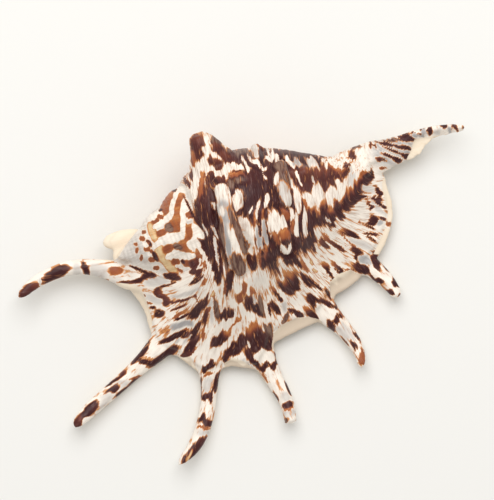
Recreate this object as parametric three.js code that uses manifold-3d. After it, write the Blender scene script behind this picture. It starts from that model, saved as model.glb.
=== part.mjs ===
// Spider conch shell, lying on its aperture side, grown as one piece.
// Millimetres. +X runs along the coiling axis from the apex to the tip of the siphonal canal,
// -Y points to the flared lip with its six fingers, +Z is the back of the shell.
import * as THREE from 'three';
import Module from 'manifold-3d';
import { mergeVertices } from 'three/addons/utils/BufferGeometryUtils.js';
import { LoftGeometry } from 'three/addons/geometries/LoftGeometry.js';

const wasm = await Module();
wasm.setup();

// Driving dimensions
const CANAL_TIP_X = 133.6;
const WHORL_GROWTH = 1.55;
const LIP_ANGLE = 200;
const SPIRE_BULGE = 0.06;
const HIDDEN_WALL = 0.74;
const PARIETAL_WALL = 0.9;
const RING_POINTS = 36;
const FLOOR_CUT = 0.9;

const rad = THREE.MathUtils.degToRad;
const smooth = THREE.MathUtils.smoothstep;
const lerp = THREE.MathUtils.lerp;

// Smooth value between named places: each entry is [place, value, value, ...]
function between(table, place) {
  const last = table.length - 1;
  if (place <= table[0][0]) return table[0].slice(1);
  if (place >= table[last][0]) return table[last].slice(1);
  let i = 0;
  while (table[i + 1][0] < place) i += 1;
  const [a, b] = [table[i], table[i + 1]];
  const before = table[Math.max(i - 1, 0)];
  const after = table[Math.min(i + 2, last)];
  const span = b[0] - a[0];
  const t = (place - a[0]) / span;
  return a.slice(1).map((value, k) => {
    const slopeA = ((b[k + 1] - before[k + 1]) / (b[0] - before[0])) * span;
    const slopeB = ((after[k + 1] - value) / (after[0] - a[0])) * span;
    const t2 = t * t;
    const t3 = t2 * t;
    return (2 * t3 - 3 * t2 + 1) * value + (t3 - 2 * t2 + t) * slopeA
      + (3 * t2 - 2 * t3) * b[k + 1] + (t3 - t2) * slopeB;
  });
}

// Radius of the coil on its +Y side, along the axis: spire, shoulder, then the slope to the canal
const COIL_RADIUS = [
  [0, 0.5], [5.3, 3.9], [10.4, 7.2], [16.8, 11], [20.5, 12.6], [25.6, 15.7], [29, 17], [34, 19.4],
  [40, 21], [48, 21.5], [53, 21.3], [58, 20], [66, 16.9], [72, 13.8], [78, 10.3], [84, 6.8],
  [90, 5], [98, 3.4], [106, 1.2],
];
// Height of the coiling axis above the floor
const AXIS_HEIGHT = [[0, 15.6], [20, 17.4], [44, 18.9], [60, 17.8], [80, 13.8], [100, 10.8], [106, 10.8]];
// Sutures of the spire: place along the axis, depth
const SUTURES = [[5.6, 0.35], [11.2, 0.6], [20.6, 0.8], [29.4, 1.3]];
const SUTURE_WIDTH = 1.3;

const axisHeight = (x) => between(AXIS_HEIGHT, x)[0];

// The spire bulges a little towards the lip
const spireFactor = (angle) => 1 + SPIRE_BULGE * Math.sin(rad(angle - 60));

// Growth of the last whorl around the axis; the part below the lip falls back to leave the aperture
function whorlFactor(x, angle) {
  const turn = (((angle - LIP_ANGLE) % 360) + 360) % 360;
  const grown = WHORL_GROWTH ** ((turn - 160) / 360);
  const fallen = lerp(grown, HIDDEN_WALL, smooth(turn, 243, 285));
  const parietal = lerp(PARIETAL_WALL, grown, smooth(turn, 0, 70));
  const closed = turn < 180 ? parietal : lerp(fallen, PARIETAL_WALL, smooth(turn, 310, 360));
  return lerp(spireFactor(angle), closed, smooth(x, 24, 36));
}

function suture(x, angle) {
  const lean = (angle > 270 ? angle - 360 : angle) * 0.012;
  return SUTURES.reduce((sum, [place, depth]) => (
    sum + depth * Math.exp(-(((x - place - lean) / SUTURE_WIDTH) ** 2))), 0);
}

function coilRadius(x, angle) {
  const base = between(COIL_RADIUS, x)[0];
  return Math.max(base * whorlFactor(x, angle) - suture(x, angle), 0.4);
}

function onCoil(x, angle) {
  const r = coilRadius(x, angle);
  return new THREE.Vector3(x, r * Math.cos(rad(angle)), axisHeight(x) + r * Math.sin(rad(angle)));
}

// Radius of the outer surface, where the last whorl runs on into the lip
function outerPoint(x, angle, lift = 0) {
  const base = between(COIL_RADIUS, x)[0];
  const grown = WHORL_GROWTH ** ((angle + 0.5) / 360);
  const factor = lerp(spireFactor(angle), grown, smooth(x, 24, 36));
  const r = base * factor + lift;
  return new THREE.Vector3(x, r * Math.cos(rad(angle)), axisHeight(x) + r * Math.sin(rad(angle)));
}

// Closed geometry to solid; corners that meet in one point leave no face behind
function toSolid(source) {
  const geometry = new THREE.BufferGeometry().copy(source);
  geometry.deleteAttribute('normal');
  geometry.deleteAttribute('uv');
  const merged = mergeVertices(geometry, 1e-4);
  const corners = merged.index.array;
  const faces = [];
  for (let i = 0; i < corners.length; i += 3) {
    const [a, b, c] = corners.subarray(i, i + 3);
    if (a !== b && b !== c && c !== a) faces.push(a, b, c);
  }
  return new wasm.Manifold(new wasm.Mesh({
    numProp: 3,
    vertProperties: Float32Array.from(merged.attributes.position.array),
    triVerts: Uint32Array.from(faces),
  }));
}

// Direction that a closed section faces
function sectionNormal(section) {
  const normal = new THREE.Vector3();
  section.forEach((p, i) => {
    normal.add(new THREE.Vector3().crossVectors(p, section[(i + 1) % section.length]));
  });
  return normal;
}

// A section drawn together in its centre, which closes the end of a loft
function centreOf(section) {
  const centre = new THREE.Vector3();
  section.forEach((p) => centre.addScaledVector(p, 1 / section.length));
  return section.map(() => centre);
}

// Closed loft through sections, wound so that it faces outward
function loft(sections) {
  const middle = sections.length >> 1;
  const ahead = new THREE.Vector3().subVectors(sections[middle][0], sections[middle - 1][0]);
  const forward = sectionNormal(sections[middle]).dot(ahead) > 0;
  const wound = forward ? sections : sections.map((section) => [...section].reverse());
  return toSolid(new LoftGeometry([centreOf(wound[0]), ...wound, centreOf(wound.at(-1))]));
}

// Spire and body whorl as rings across the axis
function coil() {
  const places = [
    0, 1.6, 3.4, 5.4, 7.4, 9.4, 11.2, 13, 15, 17, 19, 20.7, 22.4, 24.6, 26.8, 28.4, 29.6, 31, 33,
    36, 39.5, 43, 47, 51, 55, 59, 63, 67, 71, 75, 79, 83, 87, 91, 95, 100, 106,
  ];
  return loft(places.map((x) => {
    const ring = [];
    for (let j = 0; j < RING_POINTS; j += 1) ring.push(onCoil(x, (360 * j) / RING_POINTS));
    return ring;
  }));
}

// Flared lip. Each station: margin x, y, height of its back; root x and angle on the coil;
// width of the pale flange; share of the ridge that runs on into a finger
const LIP_STATIONS = [
  [-5.0, -3.0, 10.5, 5.0, 172, 3.4, 0],
  [-2.0, -8.0, 10.5, 8.0, 170, 3.0, 1.0],
  [0.3, -13.0, 10.0, 12.0, 168, 2.6, 2.2],
  [1.9, -18.3, 9.0, 16.0, 160, 2.4, 1.0],
  [2.3, -23.0, 8.0, 20.0, 150, 2.4, 0],
  [1.8, -28.0, 7.4, 24.0, 138, 2.4, 0.4],
  [1.5, -34.0, 7.0, 27.0, 129, 2.4, 2.2],
  [4.0, -38.6, 7.0, 29.0, 120, 2.4, 2.2],
  [7.5, -41.0, 7.0, 31.0, 114, 2.4, 0.4],
  [10.0, -44.8, 7.0, 33.0, 110, 2.2, 0],
  [12.5, -49.0, 7.0, 35.0, 107, 2.0, 1.8],
  [16.0, -51.8, 7.0, 37.0, 105, 2.0, 3.0],
  [20.0, -50.8, 7.0, 39.0, 105, 2.0, 1.2],
  [24.5, -51.2, 7.0, 41.0, 105, 2.0, 0],
  [29.0, -53.6, 7.0, 43.0, 105, 2.0, 0.4],
  [33.0, -56.0, 7.0, 45.0, 105, 2.2, 2.2],
  [37.0, -53.5, 7.0, 47.0, 105, 3.4, 3.2],
  [41.3, -48.9, 7.0, 49.0, 105, 4.4, 1.0],
  [45.7, -48.4, 7.0, 51.0, 105, 4.6, 0],
  [51.3, -47.8, 7.0, 53.5, 105, 4.6, 0],
  [56.5, -47.4, 7.0, 56.0, 105, 4.4, 0.8],
  [61.5, -47.2, 7.0, 59.0, 105, 4.2, 3.0],
  [65.8, -43.8, 7.0, 62.0, 105, 4.2, 2.2],
  [69.0, -40.4, 7.0, 65.0, 104, 4.4, 0.4],
  [73.5, -39.8, 7.0, 68.0, 103, 4.4, 0],
  [78.3, -38.2, 7.0, 71.0, 102, 4.0, 0.6],
  [83.2, -35.8, 7.0, 74.0, 101, 3.6, 2.4],
  [87.6, -33.2, 7.0, 77.0, 100, 3.2, 1.6],
  [92.0, -29.6, 7.2, 80.0, 98, 3.0, 0],
  [95.5, -25.4, 7.4, 83.0, 96, 3.0, 0],
  [98.2, -21.0, 7.6, 86.0, 94, 3.0, 0],
  [99.6, -16.0, 8.0, 88.5, 92, 2.8, 0],
  [99.8, -11.0, 8.4, 91.0, 90, 2.4, 0],
  [100.4, -6.6, 8.8, 94.0, 90, 1.6, 0],
];
// Fall of the back from the whorl (1) to the margin (0), over the width of the lip
const LIP_FALL = [
  [0, 1], [0.143, 0.95], [0.318, 0.782], [0.455, 0.56], [0.568, 0.37], [0.705, 0.2], [0.864, 0.06],
  [1, 0],
];
// Places of the corners over the width of the lip, on its back and below
const BACK_PLACES = [0, 0.1, 0.2, 0.3, 0.41, 0.52, 0.64, 0.76, 0.88, 1];
const UNDER_PLACES = [0.97, 0.86, 0.74, 0.62, 0.5, 0.38, 0.26, 0.14, 0.04];
// Height of the ridges that run on into the fingers
const RIDGE_HEIGHT = 0.72;
// The pale flange: step down from the back, drop at the margin, thickness
const FLANGE_STEP = 0.9;
const MARGIN_DROP = 0.9;
const FLANGE_THICKNESS = 2;
// Thickness of the lip near the whorl and near the flange
const ROOT_THICKNESS = 4;
const LIP_THICKNESS = 5.6;
// The lip laps over the whorl towards the spire and is rooted in it: turn back from the root, depths
const LIP_OVERLAP = 0.9;
const LAP_TURN = 9;
const ROOT_TURN = 16;
const ROOT_TOP_DEPTH = 1.2;
const ROOT_LOW_DEPTH = 5;

function lipSection(station) {
  const [mx, my, mz, rootX, rootAngle, flange, swell] = station;
  const ridge = RIDGE_HEIGHT * swell;
  const overlap = LIP_OVERLAP * (1 - smooth(rootX, 28, 40));
  const root = outerPoint(rootX, rootAngle, overlap);
  const width = Math.hypot(mx - root.x, my - root.y);
  const edge = 1 - flange / width;
  const flat = smooth(rootX, 12, 40);
  const sheet = (h) => mz + (root.z - mz) * lerp(1 - h, between(LIP_FALL, h)[0], flat);
  const back = (h) => sheet(h) + ridge * smooth(h, 0.25, 0.8);
  const at = (h, z) => new THREE.Vector3(lerp(root.x, mx, h), lerp(root.y, my, h), z);
  const points = [
    outerPoint(rootX, rootAngle - ROOT_TURN, -ROOT_TOP_DEPTH),
    outerPoint(rootX, rootAngle - LAP_TURN, overlap),
  ];
  BACK_PLACES.forEach((u) => points.push(at(u * edge, back(u * edge))));
  const stepped = back(edge) - FLANGE_STEP - 0.6 * ridge;
  points.push(at(edge + 0.35 / width, stepped));
  points.push(at(lerp(edge, 1, 0.6), lerp(stepped, mz - 1.5 * MARGIN_DROP, 0.6)));
  points.push(at(1, mz - MARGIN_DROP));
  points.push(at(1 + 0.3 / width, mz - MARGIN_DROP - 0.6 * FLANGE_THICKNESS));
  points.push(at(1 - 0.5 / width, mz - MARGIN_DROP - FLANGE_THICKNESS));
  UNDER_PLACES.forEach((u) => {
    const h = u * edge;
    const step = 0.01;
    const slope = (sheet(h + step) - sheet(h - step)) / (2 * step * width);
    const thickness = Math.min(lerp(ROOT_THICKNESS, LIP_THICKNESS, smooth(h, 0.2, 0.9)), 0.4 * width);
    const below = thickness / Math.hypot(1, slope);
    points.push(at(h + (slope * below) / width, sheet(h) - below));
  });
  points.push(outerPoint(rootX, rootAngle - ROOT_TURN, -ROOT_LOW_DEPTH));
  return points;
}

const lip = () => loft(LIP_STATIONS.map(lipSection));

// Fingers: path points x, y, z, width, thickness; the last one is the tip
const FINGERS = [
  [[8.5, -13, 11, 8, 4.4], [2, -8.6, 10, 10, 7], [-4, -3.6, 9.2, 7.6, 6.8], [-10, -0.2, 8.8, 6, 6],
    [-17.5, 2.4, 8.8, 5.4, 5.6], [-26.8, 2.5, 9.4, 5.1, 5], [-32.5, 1.4, 10.6, 4.5, 4.4],
    [-38.4, -1, 12.6, 3.2, 3.2]],
  [[8.5, -32, 7, 9, 5], [4, -35, 5.2, 10, 7.6], [-2, -37.8, 4.3, 7.8, 7.2], [-8.5, -40.5, 3.8, 6.3, 6.2],
    [-15, -43.1, 4.2, 6, 6], [-22.3, -45.8, 5.2, 5.8, 5.8], [-29, -48.3, 6.6, 5.6, 5.2],
    [-36.3, -51.7, 8.8, 4, 3.8]],
  [[18.6, -42.5, 7, 9, 5], [17.2, -47.6, 5.2, 10, 7.6], [15.4, -52.8, 4.3, 7, 7],
    [12.5, -59.8, 4.2, 6, 6], [8, -67.4, 5.4, 5.8, 5.6], [1.8, -73.7, 7.4, 5.2, 4.8],
    [-6, -78, 10.4, 2.2, 2.2]],
  [[36, -44, 7, 10, 5], [36.2, -49.6, 5.2, 11, 7.6], [36.4, -55, 4.3, 8.6, 7.2], [37.2, -61, 4, 6.8, 6],
    [38.5, -69, 5.4, 5.6, 5.4], [38.2, -74, 6.8, 4.7, 4.6], [37.4, -77.9, 8, 4.3, 4.2]],
  [[60.6, -38.6, 7, 9, 5], [62.6, -43.4, 5.2, 10.6, 7.6], [64.8, -48, 4.3, 8, 7.2],
    [67, -52.8, 4, 6.6, 6], [69, -59.2, 5.2, 5.4, 5], [69.4, -64, 6.4, 4, 4], [68.2, -68.5, 8, 2.4, 2.4]],
  [[79, -28.6, 7.2, 8, 5], [82, -32.6, 5.4, 9.6, 7.2], [84.8, -36.4, 4.5, 7.4, 6.8],
    [87.2, -40.8, 4.6, 6.1, 5.8], [88.8, -45, 5.6, 5, 4.8], [89.7, -49.2, 7, 3.6, 3.6]],
];
const FINGER_SIDES = 10;
const FINGER_SECTIONS = 15;
// The fourth finger ends blunt, as broken off; the others round off over their last part
const BLUNT_FINGER = 3;
const TIP_SHARE = 0.06;
const TIP_WIDTH = 0.3;

function finger(path, blunt) {
  const curve = new THREE.CatmullRomCurve3(path.map(([x, y, z]) => new THREE.Vector3(x, y, z)));
  const sizes = path.map(([, , , width, height], i) => [i / (path.length - 1), width, height]);
  const up = new THREE.Vector3(0, 0, 1);
  const sections = [];
  for (let i = 0; i <= FINGER_SECTIONS; i += 1) {
    const t = 1 - (1 - i / FINGER_SECTIONS) ** 1.25;
    const center = curve.getPoint(t);
    const tangent = curve.getTangent(t);
    const side = new THREE.Vector3().crossVectors(up, tangent).normalize();
    const rise = new THREE.Vector3().crossVectors(tangent, side);
    const [width, height] = between(sizes, t);
    const nearTip = Math.max((t - 1 + TIP_SHARE) / TIP_SHARE, 0);
    const round = blunt ? 1 : Math.sqrt(Math.max(1 - nearTip ** 2, TIP_WIDTH ** 2));
    const section = [];
    for (let j = 0; j < FINGER_SIDES; j += 1) {
      const a = (2 * Math.PI * j) / FINGER_SIDES;
      section.push(center.clone()
        .addScaledVector(side, 0.5 * width * round * Math.cos(a))
        .addScaledVector(rise, 0.5 * height * round * Math.sin(a)));
    }
    sections.push(section);
  }
  return loft(sections);
}

// Siphonal canal: place along the axis, back edge y, colour border y, lower edge y, height, crest
const CANAL = [
  [80, 5.4, -4, -5, 10.6, 8], [84, 6.2, -4, -5, 10.2, 8], [88.6, 7.1, -4.4, -5.4, 9.6, 7.2],
  [94, 7.1, -4.6, -5.6, 9, 6.2], [99.6, 7, -4.6, -5.5, 8.8, 5.2], [105.5, 5.7, -3.7, -4.5, 8.8, 4.6],
  [109.4, 5.3, -3.3, -4.2, 9, 4.1], [112.4, 5.1, -0.9, -4.3, 9.2, 3.7],
  [115, 5, 1.8, -4, 9.6, 3.4], [118.2, 4.7, 1.8, -1.7, 10, 3.2], [121.5, 4.2, 1.4, -0.3, 10.6, 3],
  [125.5, 3.4, 0.8, -0.6, 11.6, 2.7], [129.6, 2.3, -0.1, -1.2, 12.8, 2.4],
  [132.2, 1, -0.8, -1.4, 13.6, 1.9], [CANAL_TIP_X, 0.4, -0.6, -0.9, 14, 1.2],
];

// Wall beside the groove below, and depth of the groove as a share of the crest
const CANAL_WALL = 1.4;
const GROOVE_DEPTH = 0.45;

function canal() {
  return loft(CANAL.map(([x, top, border, low, z, crest]) => {
    const middle = (a) => lerp(border, top, a);
    const wall = Math.min(CANAL_WALL, crest * 0.4);
    const groove = GROOVE_DEPTH * crest;
    return [
      [top, z], [middle(0.93), z + 0.5 * crest], [middle(0.72), z + 0.78 * crest],
      [middle(0.45), z + 0.8 * crest], [middle(0.2), z + 0.64 * crest], [border, z + 0.4 * crest],
      [border - 0.15, z + 0.22 * crest], [lerp(border, low, 0.6), z + 0.05 * crest],
      [low, z + 0.14 * crest], [low - 0.1, z - 0.12 * crest], [lerp(border, low, 0.5), z - 0.25 * crest],
      [middle(0.2), z - 0.3 * crest + groove], [middle(0.5), z - 0.32 * crest + groove],
      [top - wall, z - 0.3 * crest], [top - 0.25 * wall, z - 0.34 * crest],
    ].map(([y, height]) => new THREE.Vector3(x, y, height));
  }));
}

// Knobs on the back: place along the axis, angle, radius of the crest from the axis, half width
const LONG_KNOB = [
  [44.8, 50, 21, 2.2], [44.8, 55.5, 25.6, 3.3], [44.7, 63, 27.6, 3.8], [44.4, 76, 28, 4],
  [43.9, 92, 27.6, 4.2], [43.1, 108, 27, 4.3], [42.3, 124, 26.8, 4.2], [41.7, 138, 26.8, 3.6],
  [41.4, 151, 25.8, 2.4],
];
const SMALL_KNOBS = [
  { x: 60.3, angle: 18, reach: 21.2, width: 2.4, span: 15 },
  { x: 65.8, angle: 72, reach: 19.4, width: 3.6, span: 26 },
  { x: 59, angle: 128, reach: 24.6, width: 3.4, span: 22 },
  { x: 73, angle: 70, reach: 15.9, width: 3, span: 26 },
  { x: 87.6, angle: 80, reach: 8, width: 2.6, span: 34 },
];
const KNOB_SIDES = 10;
// Deepest foot of a ridge below its crest, its depth for its half width, and the foot's own roundness
const KNOB_DEPTH = 5;
const KNOB_SLOPE = 1.25;
const FOOT_DEPTH = 0.4;
// Fall of a small knob's crest from its middle to its ends
const KNOB_FALL = 4.5;

function ridge(path) {
  return loft(path.map(([x, angle, reach, half]) => {
    const out = new THREE.Vector3(0, Math.cos(rad(angle)), Math.sin(rad(angle)));
    const depth = Math.min(KNOB_DEPTH, KNOB_SLOPE * half);
    const foot = new THREE.Vector3(x, 0, axisHeight(x)).addScaledVector(out, reach - depth);
    const section = [];
    for (let j = 0; j < KNOB_SIDES; j += 1) {
      const a = (2 * Math.PI * j) / KNOB_SIDES;
      const height = Math.sin(a) > 0 ? depth : FOOT_DEPTH;
      section.push(foot.clone()
        .addScaledVector(out, height * Math.sin(a))
        .add(new THREE.Vector3(KNOB_SLOPE * half * Math.cos(a), 0, 0)));
    }
    return section;
  }));
}

function smallKnob({ x, angle, reach, width, span }) {
  const path = [-1, -0.62, -0.2, 0.25, 0.65, 1].map((s) => {
    const drop = s * s;
    return [x - 0.6 * s, angle + (span * s) / 1.6, reach - KNOB_FALL * drop, width * (1 - 0.55 * drop)];
  });
  return ridge(path);
}

// Large shoulder knob on the +Y side: centre of each section, its width and height
const SHOULDER_KNOB = [
  [44, 11, 24.9, 20, 15], [44, 17.5, 26.7, 19, 14], [44, 21.4, 28, 16.4, 12],
  [43.8, 23.8, 28.8, 13, 10.4], [43.5, 26.4, 29.6, 10.8, 9], [43.1, 28.6, 30.2, 9, 7.6],
  [42.4, 30.7, 30.8, 5.4, 5],
];
const SHOULDER_SIDES = 12;

function shoulderKnob() {
  const sections = SHOULDER_KNOB.map(([x, y, z, width, height]) => {
    const section = [];
    for (let j = 0; j < SHOULDER_SIDES; j += 1) {
      const a = (2 * Math.PI * j) / SHOULDER_SIDES;
      section.push(new THREE.Vector3(
        x + 0.5 * width * Math.cos(a), y - 0.2 * height * Math.sin(a), z + 0.5 * height * Math.sin(a)));
    }
    return section;
  });
  return loft(sections);
}

// Pale callus that shows behind the apex, below the spire: a pointed ledge and its root.
// Centre in plan, half length, half width and turn of each
const CALLUS = [
  { x: 5, y: 4.8, long: 8.6, wide: 3.8, turn: -12 },
  { x: 5.5, y: -0.5, long: 7.5, wide: 5.5, turn: 0 },
];
const CALLUS_HEIGHT = 10.8;
const CALLUS_HALF_THICKNESS = 1.9;
const CALLUS_TILT = 4.6;

function callusPlate({ x, y, long, wide, turn }) {
  const plate = new THREE.SphereGeometry(1, 20, 8);
  plate.rotateX(Math.PI / 2);
  plate.scale(long, wide, CALLUS_HALF_THICKNESS);
  plate.rotateY(rad(CALLUS_TILT));
  plate.rotateZ(rad(turn));
  plate.translate(x, y, CALLUS_HEIGHT);
  return toSolid(plate);
}

// Floor plane that leaves small flats where the shell rests
function floorBlock() {
  const block = new THREE.BoxGeometry(400, 300, 40);
  block.translate(50, 0, -20);
  return toSolid(block);
}

function buildShell() {
  let body = coil().add(lip()).add(canal()).add(shoulderKnob());
  CALLUS.forEach((plate) => { body = body.add(callusPlate(plate)); });
  body = body.add(ridge(LONG_KNOB));
  SMALL_KNOBS.forEach((knob) => { body = body.add(smallKnob(knob)); });
  FINGERS.forEach((path, i) => { body = body.add(finger(path, i === BLUNT_FINGER)); });
  body = body.translate([0, 0, -FLOOR_CUT]).subtract(floorBlock());
  const box = body.boundingBox();
  const [x, y] = [0, 1].map((k) => (box.min[k] + box.max[k]) / 2);
  return body.translate([-x, -y, -box.min[2]]);
}

function toMesh(body, name, material) {
  const out = body.getMesh();
  const geometry = new THREE.BufferGeometry();
  geometry.setAttribute('position', new THREE.BufferAttribute(out.vertProperties, 3));
  geometry.setIndex(new THREE.BufferAttribute(out.triVerts, 1));
  geometry.computeVertexNormals();
  const mesh = new THREE.Mesh(geometry, material);
  mesh.name = name;
  return mesh;
}

const glazedShell = new THREE.MeshStandardMaterial({ color: 0x9c7f70, roughness: 0.42, metalness: 0 });
glazedShell.name = 'glazed shell';

const part = new THREE.Group();
part.name = 'spider conch shell';
part.add(toMesh(buildShell(), 'shell', glazedShell));

export default part;
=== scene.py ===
"""Spider conch shell, with its growth relief and markings, on a pale floor."""
import math

import bpy
import numpy as np
from bpy.props import FloatProperty, FloatVectorProperty, IntProperty, PointerProperty
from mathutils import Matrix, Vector
from mathutils.bvhtree import BVHTree
from mathutils.kdtree import KDTree


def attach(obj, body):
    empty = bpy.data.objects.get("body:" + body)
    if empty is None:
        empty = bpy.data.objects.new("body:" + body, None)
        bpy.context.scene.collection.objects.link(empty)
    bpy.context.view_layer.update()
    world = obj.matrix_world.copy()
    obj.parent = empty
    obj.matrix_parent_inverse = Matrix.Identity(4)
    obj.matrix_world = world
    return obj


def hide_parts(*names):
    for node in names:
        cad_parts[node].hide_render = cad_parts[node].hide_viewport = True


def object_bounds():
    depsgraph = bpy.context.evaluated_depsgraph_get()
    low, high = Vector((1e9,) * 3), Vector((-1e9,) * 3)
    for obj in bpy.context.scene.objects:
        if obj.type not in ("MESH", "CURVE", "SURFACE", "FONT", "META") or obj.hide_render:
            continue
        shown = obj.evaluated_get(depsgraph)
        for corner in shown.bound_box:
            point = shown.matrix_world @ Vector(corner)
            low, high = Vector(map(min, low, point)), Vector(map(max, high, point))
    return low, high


bl_info = {
    "name": "Spider Conch Shell",
    "version": (1, 0, 0),
    "blender": (4, 5, 0),
    "location": "3D View > Sidebar > Shell",
    "description": "Builds a spider conch shell with its relief, glaze and markings",
    "category": "Add Mesh",
}

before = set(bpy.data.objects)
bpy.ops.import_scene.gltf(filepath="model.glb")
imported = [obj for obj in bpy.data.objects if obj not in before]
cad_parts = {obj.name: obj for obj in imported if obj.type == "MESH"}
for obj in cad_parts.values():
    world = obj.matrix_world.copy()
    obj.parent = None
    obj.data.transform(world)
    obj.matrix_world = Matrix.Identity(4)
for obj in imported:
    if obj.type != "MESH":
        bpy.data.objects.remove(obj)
CAD_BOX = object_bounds()

MM = 0.001
# Markings are placed from straight above on a sheet that lies turned against the shell's axis:
# millimetres in one of its units, its width and height in units, the apex on it and its turn
UNIT = 0.36
SHEET = (494, 500)
APEX_ON_SHEET = np.array([118.0, 259.0])
TURN = math.atan2(131, 347)
# The apex in the plan of the frame, in millimetres
APEX_TO_CANAL_TIP = 133.6
APEX_SIDEWAYS = 22.65
APEX = np.array([CAD_BOX[1].x / MM - APEX_TO_CANAL_TIP, APEX_SIDEWAYS])

# Flow of the growth: lines that run from the far side over the back to the lip, each with its
# place across the flow in millimetres
FLOW_LINES = [
    (0, [(186, 188), (193, 225), (203, 262), (170, 280), (118, 270), (20, 299)]),
    (3, [(188, 184), (196, 222), (206, 264), (182, 294), (152, 312), (132, 318)]),
    (6, [(191, 180), (200, 220), (208, 266), (184, 315), (150, 352), (76, 426)]),
    (10, [(196, 160), (206, 215), (213, 268), (198, 320), (188, 352), (180, 385)]),
    (15, [(204, 140), (214, 205), (222, 268), (222, 315), (211, 365), (180, 470)]),
    (20, [(220, 145), (228, 205), (233, 268), (236, 315), (236, 350), (236, 390)]),
    (25, [(236, 150), (243, 205), (250, 265), (258, 310), (268, 355), (292, 426)]),
    (30, [(252, 150), (260, 205), (268, 262), (280, 300), (290, 318), (305, 350)]),
    (36, [(268, 146), (276, 200), (284, 255), (302, 285), (325, 312), (362, 370)]),
    (44, [(290, 150), (297, 200), (304, 245), (318, 268), (336, 285), (350, 310)]),
    (51, [(310, 155), (315, 200), (322, 230), (345, 248), (368, 262), (402, 297)]),
    (58, [(330, 160), (330, 195), (335, 215), (355, 228), (375, 235), (396, 250)]),
    (64, [(348, 155), (344, 185), (345, 205), (362, 208), (380, 208), (398, 210)]),
    (70, [(362, 150), (357, 172), (360, 188), (370, 190), (382, 188), (396, 184)]),
    (75, [(366, 146), (366, 158), (372, 166), (382, 171), (390, 172), (400, 172)]),
    (79, [(370, 143), (374, 150), (382, 156), (391, 161), (400, 166), (409, 171)]),
    (84, [(377, 141), (384, 146), (392, 151), (400, 155), (408, 159), (416, 164)]),
    (89, [(386, 137), (393, 141), (400, 145), (407, 148), (414, 151), (421, 155)]),
    (94, [(398, 132), (404, 136), (410, 139), (416, 141), (422, 144), (428, 147)]),
    (104, [(430, 124), (431, 128), (432, 132), (433, 136), (434, 140), (435, 144)]),
    (114, [(466, 124), (466, 127), (466, 130), (466, 133), (466, 136), (466, 140)]),
]

# Outline of the coloured back; what lies beyond it is the pale glaze of lip, canal and callus
COLOURED_BACK = [
    (466, 115), (468, 131), (458, 133), (433, 136), (415, 139), (411, 151), (406, 161), (394, 169),
    (383, 179), (383, 190), (388, 210), (388, 222), (396, 221), (396, 229), (386, 228), (379, 243),
    (374, 254), (390, 256), (412, 300),
    (395, 306), (368, 277), (350, 270), (337, 275), (330, 283), (331, 297), (342, 305), (376, 350),
    (360, 380), (344, 350), (320, 320), (308, 317), (297, 318), (282, 325), (274, 333), (272, 347),
    (302, 400), (302, 436), (280, 432), (265, 380), (257, 370), (243, 362), (233, 358), (225, 363),
    (222, 380), (216, 440), (190, 482), (168, 476), (196, 400), (198, 372), (190, 357), (183, 358),
    (175, 355), (150, 377), (80, 442), (64, 420), (120, 362), (147, 343), (151, 333), (152, 320),
    (148, 307), (142, 290), (135, 285), (120, 283), (60, 292), (8, 312), (8, 290), (60, 246),
    (110, 262), (118, 258), (127, 243), (139, 229), (146, 211), (157, 199), (169, 182), (178, 161),
    (178, 124), (215, 118), (260, 129), (350, 134), (420, 114),
]
SPIRE = [
    (112, 260), (132, 267), (152, 272), (177, 275), (192, 268), (208, 247), (203, 232), (196, 215),
    (187, 195), (184, 185), (165, 180), (110, 240),
]

# Raised places of the back: path over the sheet, half widths along it in units, height, and depth
# of the furrow round it, both in millimetres
SWELLS = [
    ([(222, 191), (227, 214), (231, 234), (236, 254), (240, 270)], (8.5, 10, 12, 12, 7), 0.9, 1.7),
    ([(281, 166), (284, 185), (287, 203)], (6, 7, 5), 0.9, 0.9),
    ([(275, 216), (281, 234), (287, 249)], (8, 10, 6), 0.9, 0.9),
    ([(239, 196), (240, 207)], (4, 4), 0.5, 0.2),
    ([(255, 147), (258, 158)], (5, 5), 0.7, 0.3),
    ([(360, 151), (367, 172)], (6, 5), 0.6, 0.4),
    ([(247, 220), (252, 242)], (3, 3), 0.3, 0.2),
    ([(303, 188), (311, 206)], (5, 5), 0.3, 0.2),
    ([(317, 184), (321, 204)], (5, 5), 0.3, 0.2),
    ([(331, 184), (336, 204)], (5, 5), 0.3, 0.2),
]
# Roundness of their crests; place and width of the furrows, as shares of the half width
CREST_ROUNDNESS = 0.75
FURROW_PLACE = 1.22
FURROW_WIDTH = 0.26
# Furrows: path over the sheet, half width in units, depth in millimetres
FURROWS = [
    ([(184, 188), (196, 215), (203, 240), (209, 256)], 2.5, 0.5),
    ([(204, 182), (225, 179), (246, 182)], 2.5, 0.4),
    ([(200, 168), (222, 165), (243, 160)], 2, 0.25),
    ([(151, 228), (164, 243), (178, 268)], 1.6, 0.3),
    ([(171, 196), (183, 214), (189, 240), (197, 262)], 1.6, 0.3),
]

# Paints: pigment over ground (1) or ground alone (-1), warmth at the start and at the end of
# the flow (0 black brown, 1 yellow tan), coolness
DARK = (1, 0.22, 0.0, 0.0)
FADE = (1, 0.8, 0.02, 0.0)
BROWN = (1, 0.44, 0.24, 0.0)
ORANGE = (1, 0.82, 0.62, 0.0)
RED = (1, 0.62, 0.57, 0.0)
TAN = (1, 1.0, 1.0, 0.0)
TAUPE = (1, 0.4, 0.3, 0.9)
WHITE = (-1, 0.6, 0.6, 0.08)
CREAM = (-1, 0.6, 0.6, 0.0)
GREY = (-1, 0.5, 0.5, 0.5)
BLUE = (-1, 0.4, 0.4, 0.95)
ASH = (-1, 0.5, 0.5, 0.75)
SHADE = (-1, 0.4, 0.4, 1.0)

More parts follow.
